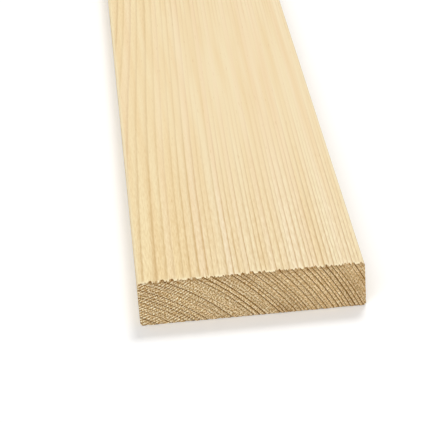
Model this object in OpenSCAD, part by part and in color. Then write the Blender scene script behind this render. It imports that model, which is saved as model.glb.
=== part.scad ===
// Planed softwood plank: one length of timber, dressed on its four long faces,
// with the long edges eased and both ends crosscut square.
// The plank lies on a wide face. X runs across its width, Y along its length and
// Z through its thickness, and the origin is the middle of the face it lies on.

/* [Plank] */
// Length between the two crosscut ends
plank_length = 900; // [300:100:6000]
// Width of the wide faces
plank_width = 95; // [45:5:245]
// Thickness between the wide faces
plank_thickness = 20; // [12:1:50]

/* [Long edges] */
// Radius to which each long edge is eased by the planer
arris_radius = 1.5; // [0.5:0.5:5]

/* [Hidden] */

// Pale, freshly planed softwood
timber_colour = "#EFD9AF";
// Facets in a full turn of an eased edge
$fn = 64;

// The flat part of each face, between the eased edges
flat_width = plank_width - 2 * arris_radius;
flat_thickness = plank_thickness - 2 * arris_radius;

// Section of the plank, standing on the X axis: two crossed rectangles reach
// the four faces, and a round of the arris radius fills each corner.
module planed_section() {
    translate([0, plank_thickness / 2]) {
        square([flat_width, plank_thickness], center = true);
        square([plank_width, flat_thickness], center = true);
        for (side = [-1, 1], level = [-1, 1])
            translate([side * flat_width / 2, level * flat_thickness / 2])
                circle(r = arris_radius);
    }
}

// The whole plank: its section carried along the length, from end to end.
module plank() {
    color(timber_colour)
        translate([0, plank_length / 2, 0])
            rotate([90, 0, 0])
                linear_extrude(height = plank_length)
                    planed_section();
}

plank();
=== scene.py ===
"""Planed softwood plank, made round its packed frame and laid out as a Blender add-on.

The board is one piece. Its growth rings belong to the log that it was sawn from, so they run
through every face: as lines along the planed sides and as arcs across the sawn ends. Lengths are
in metres, with X across the width, Y along the length and Z up.
"""

import bpy
import numpy as np
from bpy.props import FloatProperty, FloatVectorProperty, IntProperty, PointerProperty
from mathutils import Matrix, Vector


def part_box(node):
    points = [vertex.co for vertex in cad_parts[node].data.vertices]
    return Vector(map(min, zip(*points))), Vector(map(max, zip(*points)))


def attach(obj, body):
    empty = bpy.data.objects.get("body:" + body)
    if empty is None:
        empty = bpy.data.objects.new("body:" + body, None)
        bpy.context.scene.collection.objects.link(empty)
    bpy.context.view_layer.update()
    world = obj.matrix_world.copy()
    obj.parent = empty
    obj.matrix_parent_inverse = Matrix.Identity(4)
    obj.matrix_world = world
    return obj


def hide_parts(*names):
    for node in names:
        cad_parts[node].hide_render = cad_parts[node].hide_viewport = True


bl_info = {
    "name": "Planed Softwood Plank",
    "version": (1, 0, 0),
    "blender": (4, 5, 0),
    "location": "3D View > Sidebar > Plank",
    "description": "Makes a planed softwood plank with growth rings and sawn ends, and its stage",
    "category": "Add Mesh",
}

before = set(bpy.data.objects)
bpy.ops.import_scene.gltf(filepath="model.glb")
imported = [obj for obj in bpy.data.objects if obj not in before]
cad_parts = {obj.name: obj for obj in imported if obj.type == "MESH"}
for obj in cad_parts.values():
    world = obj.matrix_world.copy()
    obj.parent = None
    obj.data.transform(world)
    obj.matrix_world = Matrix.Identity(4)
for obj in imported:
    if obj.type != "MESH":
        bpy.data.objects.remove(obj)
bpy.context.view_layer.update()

# The plank's box in the frame
LOW, HIGH = (np.array(corner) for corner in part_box("plank"))
WIDTH, LENGTH, THICKNESS = HIGH - LOW

MM = 0.001
# The log's outer radius, the radius of the rings that lie right round the pith, and how far from that
# radius the middle of the rings has moved by the whole wander
LOG_RADIUS = 180 * MM
MEAN_RADIUS = 100 * MM
WANDER_REACH = 40 * MM
# Distances from the pith, in millimetres, of the years of darkest and of less dark latewood
HARD_YEARS = (78.0, 81.0, 106.0, 108.0, 114.5, 119.0, 124.0, 135.0, 143.0, 145.5, 149.5, 158.0)
FIRM_YEARS = (85.0, 87.0, 88.5, 90.5, 97.5, 104.0, 113.0, 116.0, 122.5, 127.5, 132.0, 137.5, 139.5,
              141.0, 147.5)


# Settings

def size(name, description, default):
    """A length that a user may change."""
    return FloatProperty(
        name=name, description=description, default=default, min=0.0, precision=5,
        unit="LENGTH", subtype="DISTANCE",
    )


def share(name, description, default):
    """A share from 0 to 1 that a user may change."""
    return FloatProperty(
        name=name, description=description, default=default, min=0.0, max=1.0, subtype="FACTOR",
    )


def place(name, description, default):
    """A point, a place in the section or a row of distances that a user may change."""
    return FloatVectorProperty(
        name=name, description=description, default=default, size=len(default), precision=5,
        unit="LENGTH", subtype="TRANSLATION",
    )


def angle(name, description, degrees):
    """An angle that a user may change, given in degrees."""
    return FloatProperty(
        name=name, description=description, default=np.radians(degrees).item(), unit="ROTATION",
        subtype="ANGLE",
    )


def colour(name, description, red, green, blue):
    """A colour that a user may change, given as a display colour with channels from 0 to 255, and
    made linear by the sRGB curve."""
    shown = np.array([red, green, blue]) / 255
    linear = np.where(shown <= 0.04045, shown / 12.92, ((shown + 0.055) / 1.055) ** 2.4)
    return FloatVectorProperty(
        name=name, description=description, default=linear.tolist(), size=3, min=0.0, max=1.0,
        subtype="COLOR",
    )


class BoardSettings(bpy.types.PropertyGroup):
    """Sizes of the board that the frame doesn't give"""

    arris_radius: size("Eased edge", "Radius of the four long edges", 1.5 * MM)
    lip_run: size("Lip run", "How far the sawn edge is broken back along the length", 1.7 * MM)
    lip_drop: size("Lip drop", "How far the sawn edge is broken down from each face", 0.5 * MM)
    lip_fade: size("Lip fade", "How far the frayed look reaches beyond the lip", 1.0 * MM)
    raised_grain: size("Raised grain", "Height of latewood on the planed faces", 0.006 * MM)
    torn_grain: size("Torn grain", "Depth of torn earlywood on the sawn ends", 0.15 * MM)
    saw_depth: size("Saw depth", "Depth of the saw's arcs on the sawn ends", 0.1 * MM)
    saw_pitch: size("Saw pitch", "Distance between the saw's arcs", 1.1 * MM)
    saw_centre: place("Saw centre", "Middle of the saw's arcs, across and up", (-75 * MM, 85 * MM))
    saw_reach: size("Saw reach", "Width of the end, from its left, that the arcs mark", 32 * MM)
    mesh_step: size("Mesh step", "Distance between points across the grain", 0.27 * MM)
    row_step: size("Row step", "Distance between points along the grain", 28 * MM)


class GrainSettings(bpy.types.PropertyGroup):
    """The log that the board was sawn from"""

    pith: place("Pith", "The log's middle, across and up from the board's underside",
                (-78 * MM, -68 * MM))
    wander: place("Wander", "How far the rings' middle moves from the pith, across and up",
                  (-12 * MM, 7.5 * MM))
    rise: size("Rise", "How far the pith bows up, half way along the board", 7.8 * MM)
    sway: size("Sway", "How far the pith bows to the left, half way along the board", 1.4 * MM)
    ring_width: size("Ring width", "Mean width of a year's growth", 1.85 * MM)
    ring_spread: share("Ring spread", "How much the width changes from year to year", 0.22)
    line_lift: size("Line lift", "How much higher in the log the lines are taken than the ends' arcs",
                    1.0 * MM)
    hard_years: place("Hard years", "Distances from the pith of the years of darkest latewood",
                      [year * MM for year in HARD_YEARS])
    firm_years: place("Firm years", "Distances from the pith of the years of less dark latewood",
                      [year * MM for year in FIRM_YEARS])
    hard_density: share("Hard latewood", "Darkness of the latewood of hard years", 0.9)
    firm_density: share("Firm latewood", "Darkness of the latewood of firm years", 0.65)
    soft_density: share("Soft latewood", "Most that the latewood of other years darkens", 0.5)
    young_density: share("Young latewood", "Darkness of latewood nearest to the pith", 0.66)
    fade: share("Fade", "How much the rings fade and come back along the board", 0.97)
    fade_length: size("Fade length", "Length of one fading, there and back", LENGTH / 2)
    seed: IntProperty(name="Seed", description="Picks one log out of many", default=10420, min=0)


class ColourSettings(bpy.types.PropertyGroup):
    """Colours of the wood under plain light"""

    earlywood: colour("Earlywood", "Planed wood of the spring", 245, 227, 187)
    latewood: colour("Latewood", "Planed wood of the summer's end", 203, 163, 101)
    inner_wood: colour("Inner wood", "Planed wood nearest to the pith", 244, 221, 171)
    honey: colour("Honey", "Planed wood of the warmer years", 234, 200, 142)
    rosy: colour("Rosy", "Planed wood of the pinker years", 250, 224, 196)
    resin: colour("Resin", "Short resin canals on the planed faces", 206, 160, 100)
    sawn_earlywood: colour("Sawn earlywood", "End grain of the spring", 249, 203, 135)
    sawn_latewood: colour("Sawn latewood", "End grain of the summer's end", 132, 82, 12)
    # Warm patches on the end grain, and painted shade along the ends' upper edge
    sawn_stain_and_shade: colour("Sawn stain", "Warm patches on the end grain", 176, 124, 64)
    # Pale fibres of the frayed lip, also painted as a highlight there and along the long edges
    fray_and_highlight: colour("Frayed lip", "Crushed fibres on the sawn edge", 255, 240, 200)


class StageSettings(bpy.types.PropertyGroup):
    """Camera, light and floor"""

    eye: place("Eye", "Where the camera stands", (-51.3 * MM, -1148.6 * MM, 407.6 * MM))
    heading: angle("Heading", "Turn of the camera to the right of the board's length", 3.0)
    tilt: angle("Tilt", "How far the camera looks down", 27.05)
    roll: angle("Roll", "Turn of the camera about its own line of sight", -3.86)
    view_angle: angle("View angle", "Angle across the picture", 12.47)
    sun_heading: angle("Sun heading", "Turn of the sun to the right, seen from the camera", 20.0)
    sun_height: angle("Sun height", "Height of the sun behind the board", 58.0)
    sun_spread: angle("Sun spread", "Width of the sun, which softens shadows", 16.0)
    sun_level: share("Sun level", "Share of the light on the floor that the sun gives", 0.30)
    sky_level: share("Sky level", "Share of the light on the floor that the sky gives", 0.45)
    fill_heading: angle("Fill heading", "Turn of the fill lamp to the left of the camera", 25.0)
    fill_height: angle("Fill height", "Height of the fill lamp, on the camera's side", 48.0)
    fill_spread: angle("Fill spread", "Width of the fill lamp, which softens shadows", 32.0)
    fill_level: share("Fill level", "Share of the light on the floor that the fill gives", 0.25)
    floor_size: size("Floor size", "Side of the square floor", 8.0)
    floor_tone: share("Floor tone", "Light that the floor throws back on the board", 0.8)


# Figure of the wood

def smooth_step(low, high, value):
    """Rises from 0 at low to 1 at high along the cubic 3t^2 - 2t^3."""
    t = np.clip((value - low) / (high - low), 0, 1)
    return t * t * (3 - 2 * t)


# Points on each side of the lattice that smooth noise is made from
LATTICE_SIDE = 128


def value_noise(a, b, seed):
    """Smooth random values from -1 to 1 over the plane of a and b.

    Each whole-number point has its own random value, and a place between four of them blends
    theirs by smooth steps. The values repeat where the lattice ends.
    """
    lattice = np.random.default_rng(seed).uniform(-1, 1, (LATTICE_SIDE, LATTICE_SIDE))
    i, j = np.floor(a).astype(int), np.floor(b).astype(int)
    s, t = smooth_step(0, 1, a - i), smooth_step(0, 1, b - j)
    left, right, low, high = (k % LATTICE_SIDE for k in (i, i + 1, j, j + 1))
    near = lattice[left, low] * (1 - s) + lattice[right, low] * s
    far = lattice[left, high] * (1 - s) + lattice[right, high] * s
    return near * (1 - t) + far * t


def end_noise(points, across, up, seed, mean=0.0, swing=1.0):
    """Smooth noise over the section, with these distances between its random values, that swings
    this far to each side of its mean."""
    x, _, z = np.moveaxis(points, -1, 0)
    return mean + swing * value_noise(x / across, z / up, seed)


class Log:
    """Growth rings of the log: the outer radius of each, and how dark its latewood is.

    The hard and firm years are given. The years between two of them share out the distance by
    random amounts, and their latewood is paler.
    """

    # Where a ring's wood starts to turn, and where it is darkest, as shares of the ring, and the
    # power by which it turns
    START_SHARE = 0.35
    PEAK_SHARE = 0.92
    TURN_POWER = 3.0
    # Least that the latewood of other years darkens, as a share of the most, and how much chance adds
    # to the darkness of hard and firm ones
    LEAST_SOFT_SHARE = 0.4
    CHANCE_GAIN = 0.1
    # Shares of the log's radius at which latewood starts to gain density and has it all
    GROWN_SHARES = (0.4, 0.7)
    # Power by which the rings fade, share of the fading that rings near the pith have, and the
    # distances from it at which they start to fade more and fade most
    FADE_POWER = 0.7
    INNER_FADE_SHARE = 0.4
    FADE_RADII = (80 * MM, 120 * MM)
    # Waves in the rings: height, length round the log and length along it
    WAVES = ((0.20 * MM, 20 * MM, 130 * MM), (0.06 * MM, 7 * MM, 50 * MM))

    def __init__(self, grain):
        rng = np.random.default_rng(grain.seed)
        years = np.sort([*grain.hard_years, *grain.firm_years])
        marks = np.array([0.0, *years, LOG_RADIUS])
        counts = np.maximum(np.round(np.diff(marks) / grain.ring_width), 1).astype(int)
        edges = [np.zeros(1)]
        for start, stop, count in zip(marks[:-1], marks[1:], counts):
            widths = np.exp(grain.ring_spread * rng.normal(size=count))
            edges.append(start + (stop - start) * np.cumsum(widths) / widths.sum())
        self.edges = np.concatenate(edges)
        chance = rng.uniform(self.LEAST_SOFT_SHARE, 1, counts.sum())
        darkness = grain.soft_density * chance
        known = np.cumsum(counts)[:-1] - 1
        hard = np.isin(years, list(grain.hard_years))
        darkness[known] = np.where(hard, grain.hard_density, grain.firm_density)
        darkness[known] += self.CHANCE_GAIN * chance[known]
        age = smooth_step(*self.GROWN_SHARES, self.edges[1:] / LOG_RADIUS)
        self.density = darkness * (grain.young_density + (1 - grain.young_density) * age)
        self.grain = grain

    def place(self, points):
        """Where each point was in the log: its distance from the pith, the arc round the pith and
        the distance along it. The pith bows up and left by a squared sine of the length. The rings'
        middle wanders off by the square of how far the radius is from the mean one, and smooth
        noise over the arc and the length makes the rings wavy."""
        x, y, z = np.moveaxis(points, -1, 0)
        grain = self.grain
        bow = np.sin(np.pi * (y - LOW[1]) / LENGTH) ** 2
        across = x - grain.pith[0] + grain.sway * bow
        up = z - grain.pith[1] - grain.rise * bow
        radius, arc = np.hypot(across, up), MEAN_RADIUS * np.arctan2(across, up)
        move = ((radius - MEAN_RADIUS) / WANDER_REACH) ** 2
        radius = radius - move * (grain.wander[0] * across + grain.wander[1] * up) / radius
        for i, (height, around, along) in enumerate(self.WAVES):
            radius = radius + height * value_noise(arc / around, y / along, grain.seed + i)
        return np.stack([radius, arc, y], -1)

    def phase(self, places):
        """Count of rings from the pith, with the share of the last one as its fraction."""
        return np.interp(places[..., 0], self.edges, np.arange(len(self.edges)))

    def latewood_density(self, places):
        """Density of each ring's latewood, carried smoothly from ring to ring."""
        darkest = np.arange(len(self.density)) + self.PEAK_SHARE
        return np.interp(self.phase(places), darkest, self.density)

    def clearness(self, places):
        """How clearly the rings show: they fade and come back by a power of a cosine of the length,
        and less so nearer to the pith, by a smooth step of the radius."""
        run = places[..., 2] - LOW[1]
        fading = (0.5 - 0.5 * np.cos(2 * np.pi * run / self.grain.fade_length)) ** self.FADE_POWER
        old = smooth_step(*self.FADE_RADII, places[..., 0])
        reach = self.INNER_FADE_SHARE + (1 - self.INNER_FADE_SHARE) * old
        return 1 - self.grain.fade * fading * reach

    def turning(self, places):
        """How far each ring's wood has turned: it rises from 0 to 1 by a power of the share, and
        falls at once at the ring's end."""
        part = self.phase(places) % 1
        rise = np.clip((part - self.START_SHARE) / (self.PEAK_SHARE - self.START_SHARE), 0, 1)
        return rise ** self.TURN_POWER * (1 - smooth_step(self.PEAK_SHARE, 1, part))

    def latewood(self, places):
        """How far the wood has turned to latewood, as high as the ring's density."""
        return self.turning(places) * self.latewood_density(places)


# Shape of the board

class Section:
    """Outline of the board's section: four quarter circles of the arris radius, joined by flats.

    The points are evenly spaced along it. The loop starts in the middle of the lower left arc and
    runs counterclockwise as seen from the near end, with as many steps along each wide side as
    along the other, and likewise on the narrow sides.
    """

    # Degrees between which each arc turns, the first one in two halves, and the points on each
    ARC_SPANS = ((225, 270), (270, 360), (360, 450), (450, 540), (540, 585))
    ARC_POINTS = 17

    def __init__(self, radius, step):
        corner = np.pi * radius / 2
        wide, narrow = WIDTH - 2 * radius + corner, THICKNESS - 2 * radius + corner
        self.across, self.through = round(wide / step), round(narrow / step)
        arcs = [np.linspace(*span, self.ARC_POINTS) for span in self.ARC_SPANS]
        turn = np.radians(np.concatenate(arcs))
        side = np.repeat([-1, 1, 1, -1, -1], self.ARC_POINTS)
        level = np.repeat([-1, -1, 1, 1, -1], self.ARC_POINTS)
        normal = np.stack([np.cos(turn), np.sin(turn)], -1)
        middle = np.stack([side * (WIDTH / 2 - radius), level * (THICKNESS / 2 - radius)], -1)
        path = middle + radius * normal + [(LOW[0] + HIGH[0]) / 2, (LOW[2] + HIGH[2]) / 2]
        way = np.concatenate([[0], np.cumsum(np.linalg.norm(np.diff(path, axis=0), axis=1))])
        wide, narrow = np.array([wide, narrow]) * way[-1] / (2 * (wide + narrow))
        sides = ((0, wide, self.across), (wide, narrow, self.through),
                 (wide + narrow, wide, self.across), (2 * wide + narrow, narrow, self.through))
        self.way = np.concatenate([np.linspace(a, a + b, n, endpoint=False) for a, b, n in sides])
        self.girth = way[-1]
        self.points = np.stack([np.interp(self.way, way, path[:, k]) for k in (0, 1)], -1)
        self.normals = np.stack([np.interp(self.way, way, normal[:, k]) for k in (0, 1)], -1)

    def patch(self, loop):
        """Fills a loop of section points with a grid: a Coons patch, which blends its lower and
        upper sides, adds the blend of its left and right sides and takes off the blend of its
        corners."""
        n, m = self.across, self.through
        bottom, right = loop[: n + 1], loop[n: n + m + 1]
        top = loop[n + m: 2 * n + m + 1][::-1]
        left = np.concatenate([loop[2 * n + m:], loop[:1]])[::-1]
        u = np.linspace(0, 1, n + 1)[:, None, None]
        v = np.linspace(0, 1, m + 1)[None, :, None]
        sides = (1 - v) * bottom[:, None] + v * top[:, None] + (1 - u) * left + u * right
        corners = ((1 - u) * ((1 - v) * bottom[0] + v * top[0])
                   + u * ((1 - v) * bottom[-1] + v * top[-1]))
        return sides - corners

    def patch_index(self, loop, inner):
        """Vertex numbers of such a grid, whose rim has the numbers in loop and whose inside has
        those in inner, column by column."""
        n, m = self.across, self.through
        index = np.empty((n + 1, m + 1), int)
        index[1:-1, 1:-1] = inner.reshape(n - 1, m - 1)
        loop = np.append(loop, loop[0])
        index[:, 0], index[-1] = loop[: n + 1], loop[n: n + m + 1]
        index[:, -1] = loop[n + m: 2 * n + m + 1][::-1]
        index[0] = loop[2 * n + m:][::-1]
        return index


# Smooth noise on the sawn ends: distances between its random values, across and up, its seed, and its
# mean and swing where they aren't 0 and 1
TORN_NOISE = (0.6 * MM, 0.6 * MM, 21, 0.85, 0.15)
WORN_NOISE = (3 * MM, 3 * MM, 22, 0.6, 0.4)
BENT_ARC_NOISE = (3.5 * MM, 2.5 * MM, 24)
BROKEN_ARC_NOISE = (2.2 * MM, 1.6 * MM, 25, 0.8, 0.5)
STAIN_NOISE = (1.5 * MM, 1 * MM, 26, 0.7, 0.3)
TUFT_NOISE = (0.8 * MM, 0.8 * MM, 31)
CHIP_NOISE = (4 * MM, 4 * MM, 32)
# The saw's arcs: how far noise bends them, as a share of their pitch, the shares of their reach at
# which they start to die out and are faintest, and how strong the faintest are
ARC_BEND_SHARE = 0.35
ARC_END_SHARES = (0.5, 1.1)
FAINTEST_ARC_SHARE = 0.15
# How far the sawn edge is broken, as shares of the lip's sizes: least and most, everywhere, where a
# ring turns, by tufts and by chips, and the level of noise that a chip starts at
LEAST_BROKEN_SHARE = 0.1
MOST_BROKEN_SHARE = 1.2
EVEN_BREAK_SHARE = 0.25
NOTCH_SHARE = 0.55
TUFT_SHARE = 0.55
CHIP_SHARE = 2.0
CHIP_LEVEL = 0.6
# Angles along the quarter of an ellipse at the lip, in degrees, the fades beyond it at which the next
# row lies and the row after that at least, and the count of rows whose distances then grow
LIP_ANGLES = (0, 30, 60, 90)
NEXT_ROW_FADES = 2
AFTER_ROW_FADES = 3
GROWING_ROWS = 5
# Warm stains on the sawn ends, and painted shade along their upper edge: place across, height and
# reach of each spot, depth of the painted shade along the upper edge, and how strong the spots and
# that edge are
STAIN_SPOTS = (
    (-40 * MM, 18 * MM, 13 * MM), (14 * MM, 1 * MM, 8 * MM), (-4 * MM, 20 * MM, 8 * MM),
    (46 * MM, 9 * MM, 14 * MM),
)
EDGE_SHADE_DEPTH = 1.2 * MM
SPOT_STRENGTH = 0.4
EDGE_SHADE_STRENGTH = 0.8
# Fraying, partly a painted highlight on the upper edge: shares of the thickness between which it
# comes in, and levels of the breakage and shares of the lip's drop between which it dies out
FRAY_HIGHLIGHT_HEIGHT_SHARES = (0.3, 0.9)
FRAY_HIGHLIGHT_BREAK_SHARES = (0.15, 0.55)
FRAY_HIGHLIGHT_DROP_SHARES = (0.15, 0.6)


def saw_arcs(points, board):
    """The saw's arcs on the ends: a sine of the distance from the saw's middle, from -1 on crests to 1
    in hollows, that dies out across the width by a smooth step. Smooth noise bends and breaks them."""
    x, _, z = np.moveaxis(points, -1, 0)
    distance = np.hypot(x - board.saw_centre[0], z - board.saw_centre[1]) / board.saw_pitch
    distance = distance + ARC_BEND_SHARE * end_noise(points, *BENT_ARC_NOISE)
    bite = 1 - smooth_step(*ARC_END_SHARES, (x - LOW[0]) / board.saw_reach)
    bite = bite * np.clip(end_noise(points, *BROKEN_ARC_NOISE), 0, 1)
    return np.sin(2 * np.pi * distance) * (FAINTEST_ARC_SHARE + (1 - FAINTEST_ARC_SHARE) * bite)


def sawn_depth(points, log, board):
    """How far the sawn end lies behind its plane at each point: earlywood is torn out below
    latewood, and the saw's arcs are added. Smooth noise roughens both."""
    torn = board.torn_grain * np.clip(1 - log.latewood(log.place(points)), 0, 1)
    torn = torn * end_noise(points, *TORN_NOISE)
    worn = end_noise(points, *WORN_NOISE)
    return torn + board.saw_depth * worn * (0.5 + 0.5 * saw_arcs(points, board))


def breakage(points, log):
    """How far the sawn edge is broken away, from the least to the most: more where each ring turns,
    with smooth noise in tufts, and with a wider chip where slower noise passes a level."""
    notches = np.sqrt(log.turning(log.place(points)))
    tufts = end_noise(points, *TUFT_NOISE)
    chips = np.clip(end_noise(points, *CHIP_NOISE) - CHIP_LEVEL, 0, None)
    broken = EVEN_BREAK_SHARE + NOTCH_SHARE * notches + TUFT_SHARE * tufts + CHIP_SHARE * chips
    return np.clip(broken, LEAST_BROKEN_SHARE, MOST_BROKEN_SHARE)


def board_rows(section, log, board):
    """The board's skin as a grid of points: rows along the length by points round the section.

    A row is the section, drawn in by the inset and carried along by the run. The middle rows are
    inset only where earlywood lies below latewood. At each end the last rows follow a quarter of
    an ellipse from the face to the sawn end, whose two half axes change with the breakage, so that
    the sawn edge is broken unevenly. One more row follows them on the face.
    """
    easing = np.radians(LIP_ANGLES)[:, None]
    runs, drops = [], []
    for y in (LOW[1], HIGH[1]):
        broken = breakage(np.insert(section.points, 1, y, axis=1), log)
        run = board.lip_run * broken * (1 - np.cos(easing))
        drop = board.lip_drop * np.minimum(broken, 1) * (1 - np.sin(easing))
        runs.append(np.append(run, run[-1:] + NEXT_ROW_FADES * board.lip_fade, axis=0))
        drops.append(np.append(drop, drop[-1:], axis=0))
    start = MOST_BROKEN_SHARE * board.lip_run + AFTER_ROW_FADES * board.lip_fade
    first = np.geomspace(start, board.row_step, GROWING_ROWS)
    count = round(LENGTH / board.row_step) - 1
    middle = np.linspace(first[-1], LENGTH - first[-1], count)
    stations = np.concatenate([first[:-1], middle, LENGTH - first[-2::-1]])
    flat = np.zeros((len(stations), len(section.way)))
    run = np.concatenate([runs[0], stations[:, None] + flat, LENGTH - runs[1][::-1]])
    inset = np.concatenate([drops[0], flat, drops[1][::-1]])

    points = np.empty(run.shape + (3,))
    points[..., [0, 2]] = section.points
    points[..., 1] = LOW[1] + run
    inset = inset + board.raised_grain * np.clip(1 - log.latewood(log.place(points)), 0, 1)
    points[..., [0, 2]] = section.points - section.normals * inset[..., None]
    points[0, :, 1] += sawn_depth(points[0], log, board)
    points[-1, :, 1] -= sawn_depth(points[-1], log, board)
    return points, run, len(easing) - 1


def cell_corners(grid, turn=1):
    """The four corners of each cell of a grid, in order round it, or backwards for a turn of -1."""
    corners = np.stack([grid[:-1, :-1], grid[1:, :-1], grid[1:, 1:], grid[:-1, 1:]], 2)
    return corners[:, :, ::turn]


def board_mesh(log, board):
    """The whole board as arrays: vertices, quads, and the material and map places of each quad. The
    skin's rows close on themselves round the section, and each end is a patch that shares its rim
    with the first or last row."""
    section = Section(board.arris_radius, board.mesh_step)
    rows, run, lip_rows = board_rows(section, log, board)
    row_count, girth_count = rows.shape[:2]
    index = np.arange(row_count * girth_count).reshape(row_count, girth_count)
    skin = cell_corners(np.append(index, index[:, :1], axis=1))
    strip = np.arange(row_count - 1)
    sawn_rows = (strip < lip_rows) | (strip >= row_count - 1 - lip_rows)
    vertices, quads = [rows.reshape(-1, 3)], [skin.reshape(-1, 4)]
    materials = [np.repeat(sawn_rows, girth_count)]
    maps = [skin_map(section, run, lip_rows)]
    for row, outward in ((0, -1), (row_count - 1, 1)):
        grid = section.patch(rows[row][:, [0, 2]])
        inside = np.empty(grid[1:-1, 1:-1].shape[:2] + (3,))
        inside[..., [0, 2]] = grid[1:-1, 1:-1]
        inside[..., 1] = LOW[1] if outward < 0 else HIGH[1]
        inside[..., 1] -= outward * sawn_depth(inside, log, board)
        start = sum(len(part) for part in vertices)
        cap = section.patch_index(index[row], start + np.arange(inside[..., 0].size))
        quad = cell_corners(cap, -outward).reshape(-1, 4)
        vertices.append(inside.reshape(-1, 3))
        quads.append(quad)
        materials.append(np.ones(len(quad), bool))
        maps.append(end_map(grid, outward))
    vertices = np.concatenate(vertices)
    return vertices, np.concatenate(quads), np.concatenate(materials), np.concatenate(maps)


# Places on the map that holds the board's colours, as shares of its side: the gap round each
# part, the height of each end, which lie one over the other under the unrolled skin, and the
# height of each lip on the skin
MAP_GAP_SHARE = 0.006
MAP_END_SHARE = 0.16
MAP_LIP_SHARE = 0.02


def skin_map(section, run, lip_rows):
    """Map places of the skin's quads: the section unrolled from left to right and the length from
    bottom to top, stretched to fill the map, since the grain is fine across and long. The lips
    get more than their length."""
    along = run.mean(axis=1) / LENGTH
    lips = MAP_LIP_SHARE * np.linspace(0, 1, lip_rows + 1)
    middle = np.interp(along, along[[lip_rows, -1 - lip_rows]], [MAP_LIP_SHARE, 1 - MAP_LIP_SHARE])
    along = np.concatenate([lips, middle[lip_rows + 1: -lip_rows - 1], 1 - lips[::-1]])
    low = 2 * MAP_END_SHARE + 3 * MAP_GAP_SHARE
    u = MAP_GAP_SHARE + (1 - 2 * MAP_GAP_SHARE) * np.append(section.way, section.girth) / section.girth
    v = low + (1 - MAP_GAP_SHARE - low) * along
    spots = np.stack(np.broadcast_arrays(u[None], v[:, None]), -1)
    return cell_corners(spots).reshape(-1, 4, 2)


def end_map(grid, outward):
    """Map places of an end's quads: its section laid flat, at the bottom for the near end and over
    it for the far one."""
    low = MAP_GAP_SHARE if outward < 0 else 2 * MAP_GAP_SHARE + MAP_END_SHARE
    flat = (grid - LOW[[0, 2]]) / [WIDTH, THICKNESS]
    spots = [MAP_GAP_SHARE, low] + flat * [1 - 2 * MAP_GAP_SHARE, MAP_END_SHARE]
    return cell_corners(spots, -outward).reshape(-1, 4, 2)


def fraying_and_highlight(points, log, board):
    """How frayed the wood is, with a painted highlight on the pale upper lip: 1 on the lip where it is
    broken least, less by smooth steps where it is broken more and further down from the face, and
    falling along the length as an exponential of the distance from the lip. The underside, where the
    saw came in, has none."""
    x, y, z = points.T
    broken = breakage(points, log)
    end = np.minimum(y - LOW[1], HIGH[1] - y) - broken * board.lip_run
    rim = np.minimum(np.minimum(x - LOW[0], HIGH[0] - x), np.minimum(z - LOW[2], HIGH[2] - z))
    whole = smooth_step(*FRAY_HIGHLIGHT_HEIGHT_SHARES, (z - LOW[2]) / THICKNESS)
    whole = whole * (1 - smooth_step(*FRAY_HIGHLIGHT_BREAK_SHARES, broken))
    whole = whole * (1 - smooth_step(*FRAY_HIGHLIGHT_DROP_SHARES, rim / board.lip_drop))
    return whole * np.exp(-np.clip(end, 0, None) / board.lip_fade)


def stain_and_edge_shade(points):
    """How stained the sawn ends are, from 0 to 1, with painted shade along their upper edge: round each
    spot it falls by a smooth step of the distance, and along the upper edge by an exponential of the
    depth, both broken up by noise."""
    x, _, z = np.moveaxis(points, -1, 0)
    stain_and_shade = EDGE_SHADE_STRENGTH * np.exp((z - HIGH[2]) / EDGE_SHADE_DEPTH)
    for across, up, reach in STAIN_SPOTS:
        away = np.hypot(x - across, z - LOW[2] - up) / reach
        stain_and_shade = np.maximum(stain_and_shade, SPOT_STRENGTH * (1 - smooth_step(0, 1, away)))
    return stain_and_shade * end_noise(points, *STAIN_NOISE)


def edge_highlight(points, radius):
    """How strongly the long edges are painted with a highlight: twice the product of how far each point
    lies into the arris across the width and through the thickness, which is 1 in the middle of the arc
    and 0 on the flats."""
    x, _, z = np.moveaxis(points, -1, 0)
    across = 1 - np.minimum(x - LOW[0], HIGH[0] - x) / radius
    through = 1 - np.minimum(z - LOW[2], HIGH[2] - z) / radius
    return 2 * np.clip(across, 0, 1) * np.clip(through, 0, 1)


def new_mesh(name, vertices, quads):
    """A mesh of quads from whole arrays, shaded smooth."""
    mesh = bpy.data.meshes.new(name)
    mesh.vertices.add(len(vertices))
    mesh.loops.add(quads.size)
    mesh.polygons.add(len(quads))
    mesh.vertices.foreach_set("co", vertices.astype(np.float32).ravel())
    mesh.loops.foreach_set("vertex_index", quads.astype(np.int32).ravel())
    mesh.polygons.foreach_set("loop_start", np.arange(0, quads.size, 4, dtype=np.int32))
    mesh.update(calc_edges=True)
    mesh.shade_smooth()
    return mesh


def add_attribute(mesh, name, values):
    """Stores one number or one vector for each vertex, for the materials to read."""
    kind, key = ("FLOAT", "value") if values.ndim == 1 else ("FLOAT_VECTOR", "vector")
    attribute = mesh.attributes.new(name, kind, "POINT")
    attribute.data.foreach_set(key, values.astype(np.float32).ravel())


# Materials

WHITE = (1.0, 1.0, 1.0, 1.0)
# Factors for red, green, blue and alpha in shaded hollows and on raised fibres: painted shade and a
# painted highlight, which also colour the streaks, threads and rays of the grain
SHADED_HOLLOW_TINT = (0.57, 0.43, 0.19, 1.0)
RAISED_LIT_TINT = (1.26, 1.5, 1.95, 1.0)
# Share of latewood in planed wood whose lines have faded
EVEN_TAN_SHARE = 0.09
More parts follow.
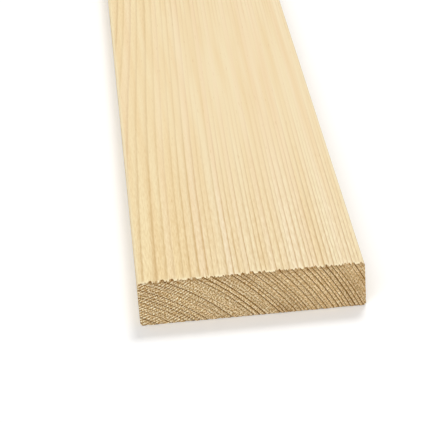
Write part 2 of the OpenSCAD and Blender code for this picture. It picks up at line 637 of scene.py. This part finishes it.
# Counts to the metre of the spots that noise makes: out from the pith, round it and along it
UNEVEN_COUNTS = (900.0, 900.0, 40.0)
BAND_COUNTS = (230.0, 230.0, 4.0)
STREAK_COUNTS = (2000.0, 2000.0, 200.0)
CANAL_COUNTS = (2200.0, 2200.0, 150.0)
PORE_COUNTS = (1300.0, 1300.0, 1.0)
THREAD_COUNTS = (2900.0, 340.0, 60.0)
RAY_COUNTS = (400.0, 2400.0, 60.0)
# Distances from the pith at which inner wood starts and is full, going inwards, and at which the sawn
# ends' pores start to grow fainter and are faintest, going outwards
INNER_RADII = (114 * MM, 98 * MM)
PORE_RADII = (100 * MM, 125 * MM)
# How strongly each mark shows at most, or for the pores also at least, from 0 to 1
BAND_STRENGTH = 0.5
ROSY_STRENGTH = 0.22
STREAK_STRENGTH = 0.25
CANAL_STRENGTH = 0.25
# Strength of the painted highlight along the long edges
EDGE_HIGHLIGHT_STRENGTH = 0.5
# The sawn ends' first growth is painted paler, partly as a highlight beside the latewood
FIRST_GROWTH_HIGHLIGHT_STRENGTH = 0.3
PORE_SHADE_STRENGTHS = (1.0, 0.65)
THREAD_STRENGTH = 0.3
RAY_STRENGTH = 0.35
# Strength of the painted shade and highlight of the saw's arcs
ARC_SHADE_STRENGTH = 0.85
# Levels between which marks come in or go out: of noise, of a ring's own shade, of the distance from a
# pore, of the saw's arcs and of fraying with its painted highlight
CANAL_LEVELS = (0.77, 0.83)
ROSY_LEVELS = (0.4, 1.0)
PORE_LEVELS = (0.2, 0.5)
ARC_LEVELS = (-0.7, 1.0)
FRAY_HIGHLIGHT_LEVELS = (0.3, 0.8)
# Tints at the two levels, from 0 in hollows to 1 on raised fibres: painted shade in the pores and in
# the saw's hollows, and a painted highlight between the pores and on the saw's crests
PORE_SHADE_TINTS = (0.0, 0.84)
ARC_SHADE_TINTS = (0.9, 0.0)
# How the latewood runs in each ring
PLANED_RING = {"Start": 0.4, "Peak": 0.82, "Power": 2.0, "Unevenness": 0.15}
SAWN_RING = {"Start": Log.START_SHARE, "Peak": Log.PEAK_SHARE, "Power": Log.TURN_POWER,
             "Unevenness": 0.1}
# Factors of the latewood's darkness on the crests and in the hollows of the saw's arcs, darker in the
# hollows as painted shade
ARC_LINE_SHADE_FACTORS = (0.7, 3.4)
# Darkest and palest tone of the rings on the sawn ends
RING_TONES = (0.94, 1.04)
# Roughness of earlywood and of latewood, bumps, and the level of gloss
PLANED_ROUGHNESS = (0.62, 0.48)
PLANED_BUMP = {"Strength": 0.4, "Distance": 0.008 * MM}
PLANED_GLOSS = 0.3
SAWN_ROUGHNESS = (0.92, 0.78)
SAWN_BUMP = {"Strength": 0.5, "Distance": 0.06 * MM}
SAWN_GLOSS = 0.15


class Shade:
    """Short calls for a node tree: each adds a node and returns the socket that it puts out."""

    def __init__(self, tree):
        self.tree = tree

    def add(self, kind, inputs, **options):
        """Adds a node, sets its options, and links or sets each of the inputs named."""
        node = self.tree.nodes.new(kind)
        for option, value in options.items():
            setattr(node, option, value)
        for key, value in inputs.items():
            self.put(value, node.inputs[key])
        return node

    def put(self, value, socket):
        """Links another node's socket to this one, or sets this one to a plain value."""
        if isinstance(value, bpy.types.NodeSocket):
            self.tree.links.new(value, socket)
        else:
            socket.default_value = value

    def attribute(self, name, output="Fac"):
        """What the mesh stores under this name."""
        return self.add("ShaderNodeAttribute", {}, attribute_name=name).outputs[output]

    def math(self, operation, *values):
        """The result of an operation on the values."""
        return self.add("ShaderNodeMath", dict(enumerate(values)), operation=operation).outputs[0]

    def ramp(self, value, low, high, start=0.0, end=1.0, kind="SMOOTHSTEP"):
        """Goes from start to end as the value goes from low to high."""
        inputs = {0: value, 1: low, 2: high, 3: start, 4: end}
        return self.add("ShaderNodeMapRange", inputs, interpolation_type=kind).outputs[0]

    def stretch(self, vector, factors):
        """The vector with each part times its own factor."""
        inputs = {0: vector, 1: factors}
        return self.add("ShaderNodeVectorMath", inputs, operation="MULTIPLY").outputs[0]

    def radius(self, place):
        """Distance from the pith of a place in the log."""
        return self.add("ShaderNodeSeparateXYZ", {0: place}).outputs[0]

    def pores(self, vector):
        """Distance from the nearest of the pores, which run along the grain and are strewn evenly."""
        inputs = {"Vector": vector, "Scale": 1.0, "Randomness": 0.85}
        node = self.add("ShaderNodeTexVoronoi", inputs, voronoi_dimensions="2D")
        return node.outputs["Distance"]

    def noise(self, vector, detail=2.0):
        """Smooth random values from 0 to 1, with finer ones for more detail."""
        inputs = {"Vector": vector, "Scale": 1.0, "Detail": detail}
        return self.add("ShaderNodeTexNoise", inputs).outputs[0]

    def mix(self, factor, first, second, blend="MIX"):
        """The first colour, blended with the second as much as the factor says."""
        inputs = {0: factor, 6: first, 7: second}
        return self.add("ShaderNodeMix", inputs, data_type="RGBA", blend_type=blend).outputs[2]

    def tone(self, colour, value):
        """The colour times a grey value."""
        grey = self.add("ShaderNodeCombineColor", {0: value, 1: value, 2: value}).outputs[0]
        return self.mix(1.0, colour, grey, "MULTIPLY")

    def tint(self, colour, value, strength):
        """The colour, browner where the value is 0, as painted shade in hollows, and paler where it is
        1, as a painted highlight on raised fibres.
        """
        return self.mix(strength, colour, self.mix(value, SHADED_HOLLOW_TINT, RAISED_LIT_TINT), "MULTIPLY")

    def use(self, tree, inputs):
        """Places a shared group, with its own values, and returns its outputs."""
        return self.add("ShaderNodeGroup", inputs, node_tree=tree).outputs


def new_group(name, inputs, outputs):
    """An empty node group with these sockets. Returns its shade, its inputs and its outputs."""
    tree = bpy.data.node_groups.new(name, "ShaderNodeTree")
    for label, kind, default in inputs:
        socket = tree.interface.new_socket(label, in_out="INPUT", socket_type="NodeSocket" + kind)
        socket.default_value = default
    for label, kind in outputs:
        tree.interface.new_socket(label, in_out="OUTPUT", socket_type="NodeSocket" + kind)
    given = tree.nodes.new("NodeGroupInput").outputs
    wanted = tree.nodes.new("NodeGroupOutput").inputs
    return Shade(tree), given, wanted


def growth_rings_group():
    """Latewood from the count of rings: it rises by a power within each ring and falls at the ring's
    end, and the next ring's first growth starts at once and dies out. Fine noise makes the lines
    uneven, and each ring has a shade of its own."""
    shade, given, wanted = new_group(
        "Growth Rings",
        [("Phase", "Float", 0.0), ("Place", "Vector", (0, 0, 0)), ("Start", "Float", 0.4),
         ("Peak", "Float", 0.9), ("Power", "Float", 2.0), ("Unevenness", "Float", 0.1)],
        [("Latewood", "Float"), ("First Growth", "Float"), ("Ring Shade", "Float")],
    )
    fine = shade.noise(shade.stretch(given["Place"], UNEVEN_COUNTS))
    shift = shade.math("MULTIPLY", shade.math("SUBTRACT", fine, 0.5), given["Unevenness"])
    phase = shade.math("ADD", given["Phase"], shift)
    part = shade.math("FRACT", phase)
    rise = shade.ramp(part, given["Start"], given["Peak"], kind="LINEAR")
    rise = shade.math("POWER", rise, given["Power"])
    fall = shade.ramp(part, given["Peak"], 1.0, 1.0, 0.0)
    shade.put(shade.math("MULTIPLY", rise, fall), wanted["Latewood"])
    shade.put(shade.ramp(part, 0.0, given["Start"], 1.0, 0.0), wanted["First Growth"])
    year = shade.math("FLOOR", phase)
    luck = shade.add("ShaderNodeTexWhiteNoise", {"W": year}, noise_dimensions="1D")
    shade.put(luck.outputs["Value"], wanted["Ring Shade"])
    return shade.tree


def wood_fibre_group():
    """Streaks of fibre, from 0 to the highest: noise over the place in the log, stretched by a count of
    fibres to the metre out from the pith, round it and along it."""
    shade, given, wanted = new_group(
        "Wood Fibre",
        [("Place", "Vector", (0, 0, 0)), ("Counts", "Vector", (1000.0, 1000.0, 30.0)),
         ("High", "Float", 1.0)],
        [("Fibre", "Float")],
    )
    streaks = shade.noise(shade.stretch(given["Place"], given["Counts"]), 3.0)
    shade.put(shade.ramp(streaks, 0.25, 0.75, 0.0, given["High"]), wanted["Fibre"])
    return shade.tree


def new_material(name):
    """A material with a plain Principled BSDF. Returns the material, its shade and the BSDF."""
    material = bpy.data.materials.new(name)
    material.use_nodes = True
    surface = material.node_tree.nodes["Principled BSDF"]
    return material, Shade(material.node_tree), surface


def dress(shade, surface, colour, roughness, height, bump, gloss):
    """Gives the surface its colour and roughness, bumps of this height, and a plain gloss."""
    shade.put(colour, surface.inputs["Base Color"])
    shade.put(roughness, surface.inputs["Roughness"])
    relief = shade.add("ShaderNodeBump", {"Height": height, **bump})
    shade.put(relief.outputs["Normal"], surface.inputs["Normal"])
    surface.inputs["Specular IOR Level"].default_value = gloss


def opaque(linear):
    """The colour with a full alpha."""
    return (*linear, 1.0)


def planed_material(colours, rings, fibre):
    """Planed faces: pale earlywood with smoother, tan latewood lines, warmer wood near the pith,
    honey bands, rosy years, fine raised streaks along the grain, a few resin canals, a painted
    highlight along the long edges, and a pale frayed lip that is partly a painted highlight."""
    material, shade, surface = new_material("planed_softwood")
    where = shade.attribute("log_place", "Vector")
    density = shade.math("SQRT", shade.attribute("line_density"))
    phase = shade.attribute("line_phase")
    ring = shade.use(rings, {"Phase": phase, "Place": where, **PLANED_RING})
    line = shade.math("MULTIPLY", ring["Latewood"], density)
    clear = shade.attribute("ring_clearness")
    darker = shade.math("SUBTRACT", line, EVEN_TAN_SHARE)
    line = shade.math("MULTIPLY_ADD", darker, clear, EVEN_TAN_SHARE)
    young = shade.math("MULTIPLY", shade.ramp(shade.radius(where), *INNER_RADII), clear)

    pale = shade.mix(young, opaque(colours.earlywood), opaque(colours.inner_wood))
    band = shade.use(fibre, {"Place": where, "Counts": BAND_COUNTS, "High": BAND_STRENGTH})["Fibre"]
    wood = shade.mix(band, pale, opaque(colours.honey))
    rosy = shade.ramp(ring["Ring Shade"], *ROSY_LEVELS, 0.0, ROSY_STRENGTH)
    wood = shade.mix(rosy, wood, opaque(colours.rosy))
    wood = shade.mix(line, wood, opaque(colours.latewood))
    streak = shade.use(fibre, {"Place": where, "Counts": STREAK_COUNTS})["Fibre"]
    fleck = shade.math("MULTIPLY", shade.math("POWER", clear, 2.0), STREAK_STRENGTH)
    wood = shade.tint(wood, streak, fleck)
    canal = shade.noise(shade.stretch(where, CANAL_COUNTS), 0.0)
    canal = shade.ramp(canal, *CANAL_LEVELS, 0.0, CANAL_STRENGTH)
    wood = shade.mix(canal, wood, opaque(colours.resin))
    # The long edges get a painted highlight, and the pale lip is frayed fibres and a painted highlight
    worn = shade.math("MULTIPLY", shade.attribute("edge_highlight"), EDGE_HIGHLIGHT_STRENGTH)
    fray_and_highlight = shade.math("MAXIMUM", worn, shade.attribute("fraying_and_highlight"))
    wood = shade.mix(fray_and_highlight, wood, opaque(colours.fray_and_highlight))

    roughness = shade.ramp(line, 0.0, 1.0, *PLANED_ROUGHNESS)
    dress(shade, surface, wood, roughness, streak, PLANED_BUMP, PLANED_GLOSS)
    return material


def sawn_material(colours, rings, fibre):
    """Sawn ends: darker, rough end grain with thin brown latewood arcs, paler first growth that is
    partly a painted highlight, pores painted dark as shade that are strongest near the pith, threads
    round it, rays that run out from it, the saw's arcs with painted shade in their hollows and a
    painted highlight on their crests, warm stains with painted shade along the upper edge, and a pale
    frayed lip that is partly a painted highlight."""
    material, shade, surface = new_material("sawn_end_grain")
    where = shade.attribute("log_place", "Vector")
    density = shade.attribute("ring_density")
    phase = shade.attribute("ring_phase")
    ring = shade.use(rings, {"Phase": phase, "Place": where, **SAWN_RING})
    line = shade.math("MULTIPLY", ring["Latewood"], density)
    arcs = shade.attribute("saw_arcs")
    # The latewood is painted darker in the saw's hollows, as shade
    line = shade.math("MULTIPLY", line, shade.ramp(arcs, -1.0, 1.0, *ARC_LINE_SHADE_FACTORS, "LINEAR"))

    # Real warm stains, and painted shade along the upper edge
    stain_and_shade = shade.attribute("stain_and_edge_shade")
    pale = shade.mix(stain_and_shade, opaque(colours.sawn_earlywood), opaque(colours.sawn_stain_and_shade))
    wood = shade.mix(line, pale, opaque(colours.sawn_latewood))
    wood = shade.tone(wood, shade.ramp(ring["Ring Shade"], 0.0, 1.0, *RING_TONES))
    # First growth is painted paler: the wood's own colour, and partly a highlight beside the latewood
    first = shade.math("MULTIPLY", ring["First Growth"], density)
    wood = shade.tint(wood, shade.ramp(first, 0.0, 1.0, 0.5, 1.0), FIRST_GROWTH_HIGHLIGHT_STRENGTH)
    # The pores are painted dark as shade in their holes, and paler between them as a highlight
    pores = shade.pores(shade.stretch(where, PORE_COUNTS))
    pores = shade.ramp(pores, *PORE_LEVELS, *PORE_SHADE_TINTS, "LINEAR")
    wood = shade.tint(wood, pores, shade.ramp(shade.radius(where), *PORE_RADII, *PORE_SHADE_STRENGTHS))
    threads = shade.use(fibre, {"Place": where, "Counts": THREAD_COUNTS})["Fibre"]
    wood = shade.tint(wood, threads, THREAD_STRENGTH)
    rays = shade.use(fibre, {"Place": where, "Counts": RAY_COUNTS})["Fibre"]
    wood = shade.tint(wood, rays, RAY_STRENGTH)
    # Painted shade in the saw's hollows and a painted highlight on its crests
    wood = shade.tint(wood, shade.ramp(arcs, *ARC_LEVELS, *ARC_SHADE_TINTS, "LINEAR"), ARC_SHADE_STRENGTH)
    # The lip is painted pale as frayed fibres and a highlight, except on latewood
    whole = shade.math("SUBTRACT", 1.0, line)
    fray_and_highlight = shade.math("MULTIPLY", shade.attribute("fraying_and_highlight"), whole)
    wood = shade.mix(shade.ramp(fray_and_highlight, *FRAY_HIGHLIGHT_LEVELS), wood, opaque(colours.fray_and_highlight))

    roughness = shade.ramp(line, 0.0, 1.0, *SAWN_ROUGHNESS)
    height = shade.math("ADD", line, rays)
    dress(shade, surface, wood, roughness, height, SAWN_BUMP, SAWN_GLOSS)
    return material


# Operators

class PLANK_OT_planed_board(bpy.types.Operator):
    """Make the board out of its log, with its planed and sawn finishes"""

    bl_idname = "plank.planed_board"
    bl_label = "Planed board"

    def execute(self, context):
        scene = context.scene
        board = scene.plank_board
        log = Log(scene.plank_grain)
        vertices, quads, sawn, spots = board_mesh(log, board)
        mesh = new_mesh("planed_board", vertices, quads)
        mesh.polygons.foreach_set("material_index", sawn.astype(np.int32))
        mesh.uv_layers.new(name="OFBake").data.foreach_set("uv", spots.astype(np.float32).ravel())
        places = log.place(vertices)
        lines = log.place(vertices + [0, 0, scene.plank_grain.line_lift])
        marks = {
            "log_place": places,
            "ring_phase": log.phase(places),
            "ring_density": log.latewood_density(places),
            "ring_clearness": log.clearness(places),
            "line_phase": log.phase(lines),
            "line_density": log.latewood_density(lines),
            # Stains, and painted shade along the ends' upper edge
            "stain_and_edge_shade": stain_and_edge_shade(vertices),
            # A painted highlight along the long edges
            "edge_highlight": edge_highlight(vertices, board.arris_radius),
            "saw_arcs": saw_arcs(vertices, board),
            # Fraying, with a painted highlight on the upper lip
            "fraying_and_highlight": fraying_and_highlight(vertices, log, board),
        }
        for name, values in marks.items():
            add_attribute(mesh, name, values)
        rings, fibre = growth_rings_group(), wood_fibre_group()
        for finish in (planed_material, sawn_material):
            mesh.materials.append(finish(scene.plank_colours, rings, fibre))

        piece = bpy.data.objects.new("planed_board", mesh)
        scene.collection.objects.link(piece)
        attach(piece, "root")
        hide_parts("plank")
        return {"FINISHED"}


class PLANK_OT_stage(bpy.types.Operator):
    """Set up the floor, the light and the camera"""

    bl_idname = "plank.stage"
    bl_label = "Stage"

    # How far the floor lies under the board, and the light that it adds to what is seen of it
    FLOOR_DROP = 0.1 * MM
    FLOOR_GLOW = 0.06

    def execute(self, context):
        scene = context.scene
        stage = scene.plank_stage
        self.add_floor(scene, stage)
        self.add_sky(scene, stage)
        self.add_lamp(scene, "sun", stage.sun_heading, stage.sun_height, stage.sun_level,
                      stage.sun_spread)
        self.add_lamp(scene, "fill", np.pi + stage.fill_heading, stage.fill_height,
                      stage.fill_level, stage.fill_spread)
        self.add_camera(scene, stage)
        scene.view_settings.view_transform = "Standard"
        return {"FINISHED"}

    @staticmethod
    def seen(shade):
        """1 for rays that show the stage itself, 0 for those that light the board."""
        path = shade.add("ShaderNodeLightPath", {}).outputs
        sight = shade.math("MAXIMUM", path["Is Camera Ray"], path["Is Glossy Ray"])
        return shade.math("MAXIMUM", sight, path["Is Transmission Ray"])

    def add_floor(self, scene, stage):
        """A white floor that keeps the board's shadow."""
        reach = stage.floor_size / 2
        corners = np.array([(-1, -1, 0), (1, -1, 0), (1, 1, 0), (-1, 1, 0)]) * reach
        corners[:, 2] = LOW[2] - self.FLOOR_DROP
        material, shade, surface = new_material("white_floor")
        seen = self.seen(shade)
        tone = shade.mix(seen, opaque([stage.floor_tone] * 3), WHITE)
        shade.put(tone, surface.inputs["Base Color"])
        glow = shade.math("MULTIPLY", seen, self.FLOOR_GLOW)
        shade.put(glow, surface.inputs["Emission Strength"])
        surface.inputs["Emission Color"].default_value = WHITE
        surface.inputs["Roughness"].default_value = 1.0
        surface.inputs["Specular IOR Level"].default_value = 0.0
        floor = bpy.data.objects.new("floor", new_mesh("floor", corners, np.arange(4)[None]))
        floor.data.materials.append(material)
        scene.collection.objects.link(floor)

    def add_sky(self, scene, stage):
        """An even sky, white where it is seen."""
        world = bpy.data.worlds.new("sky")
        world.use_nodes = True
        shade = Shade(world.node_tree)
        background = world.node_tree.nodes["Background"]
        background.inputs["Color"].default_value = WHITE
        level = shade.ramp(self.seen(shade), 0.0, 1.0, stage.sky_level, 1.0, "LINEAR")
        shade.put(level, background.inputs["Strength"])
        scene.world = world

    def add_lamp(self, scene, name, heading, height, level, spread):
        """A soft, far lamp that gives the floor a share of its light."""
        lamp = bpy.data.lights.new(name, "SUN")
        lamp.angle = spread
        lamp.energy = np.pi * level / np.sin(height)
        towards = Vector((np.cos(height) * np.sin(heading), np.cos(height) * np.cos(heading),
                          np.sin(height)))
        piece = bpy.data.objects.new(name, lamp)
        piece.rotation_euler = towards.to_track_quat("Z", "Y").to_euler()
        scene.collection.objects.link(piece)

    def add_camera(self, scene, stage):
        """A camera at the eye, turned by its heading, tilt and roll."""
        lens = bpy.data.cameras.new("camera")
        lens.sensor_fit = "HORIZONTAL"
        lens.lens = lens.sensor_width / (2 * np.tan(stage.view_angle / 2))
        level = np.cos(stage.tilt)
        ahead = Vector((level * np.sin(stage.heading), level * np.cos(stage.heading),
                        -np.sin(stage.tilt)))
        flat = ahead.cross(Vector((0, 0, 1))).normalized()
        right = flat * np.cos(stage.roll) + flat.cross(ahead) * np.sin(stage.roll)
        turn = Matrix((right, right.cross(ahead), -ahead)).transposed().to_4x4()
        camera = bpy.data.objects.new("camera", lens)
        camera.matrix_world = Matrix.Translation(stage.eye) @ turn
        scene.collection.objects.link(camera)
        scene.camera = camera


class PLANK_PT_sidebar(bpy.types.Panel):
    """Lists the plank's settings and the buttons that make it"""

    bl_idname = "PLANK_PT_sidebar"
    bl_label = "Planed Plank"
    bl_space_type = "VIEW_3D"
    bl_region_type = "UI"
    bl_category = "Plank"

    def draw(self, context):
        for operator in (PLANK_OT_planed_board, PLANK_OT_stage):
            self.layout.operator(operator.bl_idname)
        for name, group in SETTINGS.items():
            box = self.layout.box()
            box.label(text=group.__doc__)
            for key in group.__annotations__:
                box.prop(getattr(context.scene, name), key)


SETTINGS = {
    "plank_board": BoardSettings,
    "plank_grain": GrainSettings,
    "plank_colours": ColourSettings,
    "plank_stage": StageSettings,
}
CLASSES = (*SETTINGS.values(), PLANK_OT_planed_board, PLANK_OT_stage, PLANK_PT_sidebar)


def register():
    """Makes the classes and the scene's settings known to Blender."""
    for kind in CLASSES:
        bpy.utils.register_class(kind)
    for name, group in SETTINGS.items():
        setattr(bpy.types.Scene, name, PointerProperty(type=group))


def unregister():
    """Takes the settings and the classes away again."""
    for name in SETTINGS:
        delattr(bpy.types.Scene, name)
    for kind in reversed(CLASSES):
        bpy.utils.unregister_class(kind)


def main():
    """Makes the board and its stage."""
    register()
    bpy.ops.plank.planed_board()
    bpy.ops.plank.stage()


if __name__ == "__main__":
    main()
